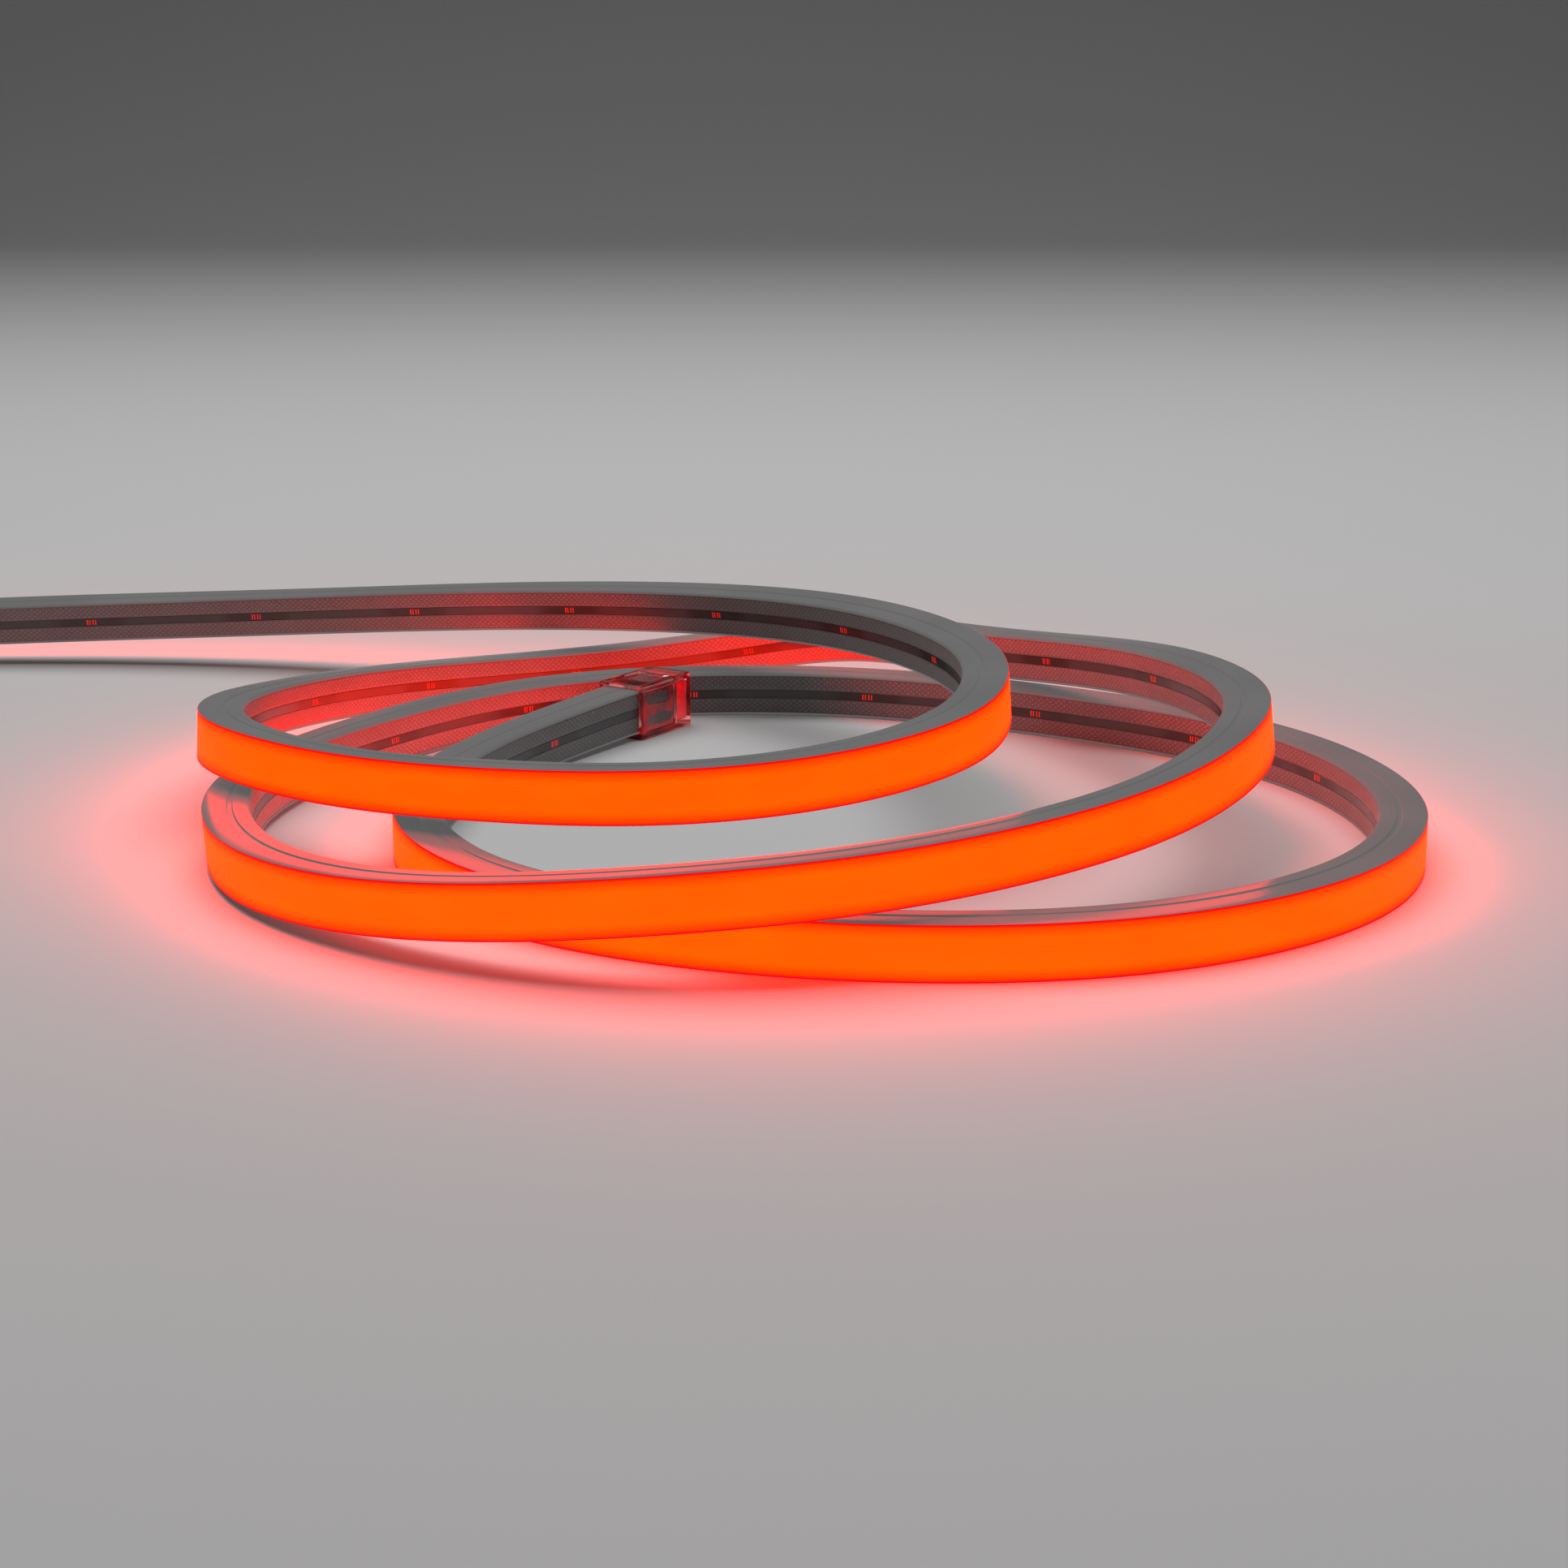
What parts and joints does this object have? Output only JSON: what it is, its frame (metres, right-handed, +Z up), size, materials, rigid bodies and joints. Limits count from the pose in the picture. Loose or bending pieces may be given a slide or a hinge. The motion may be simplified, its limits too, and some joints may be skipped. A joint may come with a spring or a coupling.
{
  "type": "led neon flex",
  "caption": "Rectangular LED neon flex lying in a loose pile of loops, lit face outwards, with a clear moulded cap on each end.",
  "frame": {"origin": "middle of the underside of the end cap inside the pile, on the floor that the pile lies on", "axes": "+Z up, +X along the longer side of the pile, away from the tail"},
  "size_m": [0.6813, 0.3883, 0.0476],
  "materials": {
    "jacket_silicone": "satin white silicone",
    "lit_silicone": "milky silicone, lit red-orange",
    "circuit_board": "white coated flexible board",
    "clear_plastic": "clear moulded plastic"
  },
  "bodies": {
    "root": {"jacket": "jacket_silicone", "diffuser": "lit_silicone", "led_strip": "circuit_board", "end_cap": "clear_plastic", "tail_cap": "clear_plastic"}
  },
  "joints": []
}
